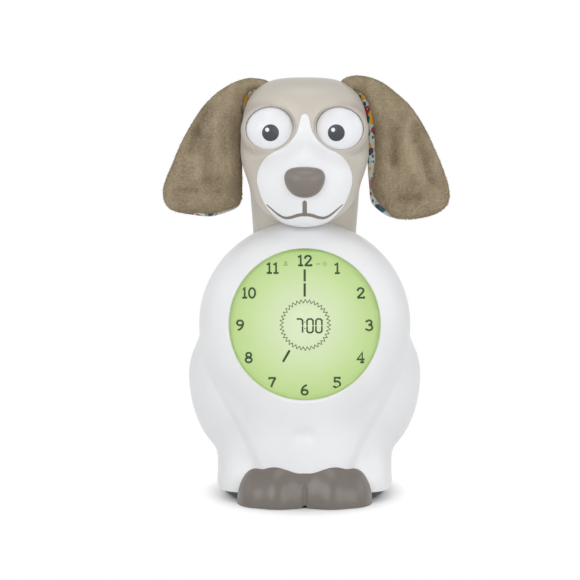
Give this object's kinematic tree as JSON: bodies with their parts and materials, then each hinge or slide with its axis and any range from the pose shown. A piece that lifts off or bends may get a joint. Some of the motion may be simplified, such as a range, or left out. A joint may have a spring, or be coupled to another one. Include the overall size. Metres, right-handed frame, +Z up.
{
  "type": "kids alarm clock with night light",
  "caption": "Sitting puppy sleep-trainer clock with a round backlit dial, eyes that turn closed, soft hanging ears, rear push buttons and a battery bay.",
  "frame": {"origin": "Centre of the bounding box in X and Y, at the undersides of the rubber feet (z = 0).", "axes": "+Z up from the feet to the crown and ears, -Y out of the dial and face, +X to the right as seen from the front."},
  "size_m": [0.133, 0.0907, 0.1973],
  "materials": {
    "shell_white": "satin white",
    "head_greige": "satin greige",
    "taupe_plastic": "satin taupe",
    "base_grey": "matte dark grey",
    "foot_rubber": "soft matte",
    "steel": "plain",
    "clear_lens": "clear, glossy",
    "lcd_green": "lit green display",
    "light_guide": "milky",
    "frame_white": "moulded",
    "board_green": "solder mask",
    "led_yellow": "clear yellow",
    "contact_pink": "soft",
    "component_black": "moulded",
    "dark_grey": "matte dark grey",
    "wire_red": "insulation",
    "cell_blue": "plain wrap",
    "switch_metal": "stamped",
    "ribbon_grey": "flat",
    "button_white": "satin white",
    "eye_white": "glossy white",
    "pupil_grey": "glossy dark grey",
    "lash_brown": "painted line",
    "gear_cream": "moulded",
    "pinion_brass": "turned",
    "ear_plush": "short pile plush",
    "ear_print": "printed cotton"
  },
  "bodies": {
    "case": {"body_front": "shell_white", "body_rear": "shell_white", "body_screws": "steel", "base_plate": "base_grey", "base_screws": "steel", "base_feet": "foot_rubber", "paws": "taupe_plastic", "dial_lens": "clear_lens", "lcd_panel": "lcd_green", "light_guide": "light_guide", "display_frame": "frame_white", "display_screws": "steel", "backlight_board": "board_green", "backlight_leds": "led_yellow", "lcd_connector": "contact_pink", "main_board": "board_green", "board_components": "component_black", "speaker_frame": "dark_grey", "speaker_cone": "component_black", "speaker_wires": "wire_red", "power_socket": "steel", "battery_box": "dark_grey", "battery_cells": "cell_blue", "battery_springs": "steel", "battery_contacts": "steel", "battery_wires": "wire_red", "control_panel": "dark_grey", "button_board": "board_green", "tact_switches": "switch_metal", "panel_ribbon": "ribbon_grey", "head_front": "head_greige", "head_rear": "head_greige", "head_screws": "steel", "muzzle_cover": "shell_white", "mouth_line": "taupe_plastic", "nose": "taupe_plastic", "eye_motor": "switch_metal", "eye_chassis": "frame_white", "motor_wires": "wire_red", "ear_pins": "steel"},
    "eyes": {"eyeballs": "eye_white", "pupils": "pupil_grey", "eyelids": "head_greige", "lash_lines": "lash_brown", "eye_shaft": "steel", "eye_gear": "gear_cream"},
    "idler": {"idler_gear": "gear_cream"},
    "pinion": {"motor_pinion": "pinion_brass"},
    "left_ear": {"ear_left": "ear_plush", "ear_lining_left": "ear_print"},
    "right_ear": {"ear_right": "ear_plush", "ear_lining_right": "ear_print"},
    "clock_button": {"button_clock": "button_white"},
    "alarm_button": {"button_alarm": "button_white"},
    "light_button": {"button_light": "button_white"},
    "plus_button": {"button_plus": "button_white"},
    "minus_button": {"button_minus": "button_white"},
    "lock": {"lock_slider": "button_white"},
    "door": {"battery_door": "shell_white"},
    "door_screw": {"battery_door_screw": "steel"}
  },
  "joints": [
    {"name": "eyes_turn", "type": "hinge", "parent": "case", "child": "eyes", "pos_m": [0, -0.013, 0.1733], "axis": [1, 0, 0], "range_deg": [0, 180]},
    {"name": "idler_spin", "type": "hinge", "parent": "case", "child": "idler", "pos_m": [0, -0.00395, 0.1733], "axis": [1, 0, 0], "range_deg": [-360, 0]},
    {"name": "pinion_spin", "type": "hinge", "parent": "case", "child": "pinion", "pos_m": [0, 0.0051, 0.1733], "axis": [1, 0, 0], "range_deg": [0, 720]},
    {"name": "left_ear_swing", "type": "hinge", "parent": "case", "child": "left_ear", "pos_m": [-0.0215, 0.004, 0.1878], "axis": [0, 1, 0], "range_deg": [0, 20]},
    {"name": "right_ear_swing", "type": "hinge", "parent": "case", "child": "right_ear", "pos_m": [0.0215, 0.004, 0.1878], "axis": [0, -1, 0], "range_deg": [0, 20]},
    {"name": "clock_press", "type": "slide", "parent": "case", "child": "clock_button", "axis": [0, -0.9962, -0.0872], "range_m": [0, 0.0006], "stiffness_N_per_m": 800},
    {"name": "alarm_press", "type": "slide", "parent": "case", "child": "alarm_button", "axis": [0, -0.9962, -0.0872], "range_m": [0, 0.0006], "stiffness_N_per_m": 800},
    {"name": "light_press", "type": "slide", "parent": "case", "child": "light_button", "axis": [0, -0.9962, -0.0872], "range_m": [0, 0.0006], "stiffness_N_per_m": 800},
    {"name": "plus_press", "type": "slide", "parent": "case", "child": "plus_button", "axis": [0, -0.9962, -0.0872], "range_m": [0, 0.0006], "stiffness_N_per_m": 800},
    {"name": "minus_press", "type": "slide", "parent": "case", "child": "minus_button", "axis": [0, -0.9962, -0.0872], "range_m": [0, 0.0006], "stiffness_N_per_m": 800},
    {"name": "lock_slide", "type": "slide", "parent": "case", "child": "lock", "axis": [1, 0, 0], "range_m": [0, 0.004]},
    {"name": "door_slide", "type": "slide", "parent": "case", "child": "door", "axis": [0, 1, 0], "range_m": [0, 0.03]},
    {"name": "door_screw_turn", "type": "hinge", "parent": "door", "child": "door_screw", "pos_m": [0, 0.04, 0.0125], "axis": [0, 1, 0], "continuous": true}
  ],
  "couplings": [
    {"joint": "idler_spin", "follows": "eyes_turn", "ratio": -2},
    {"joint": "pinion_spin", "follows": "eyes_turn", "ratio": 4}
  ]
}
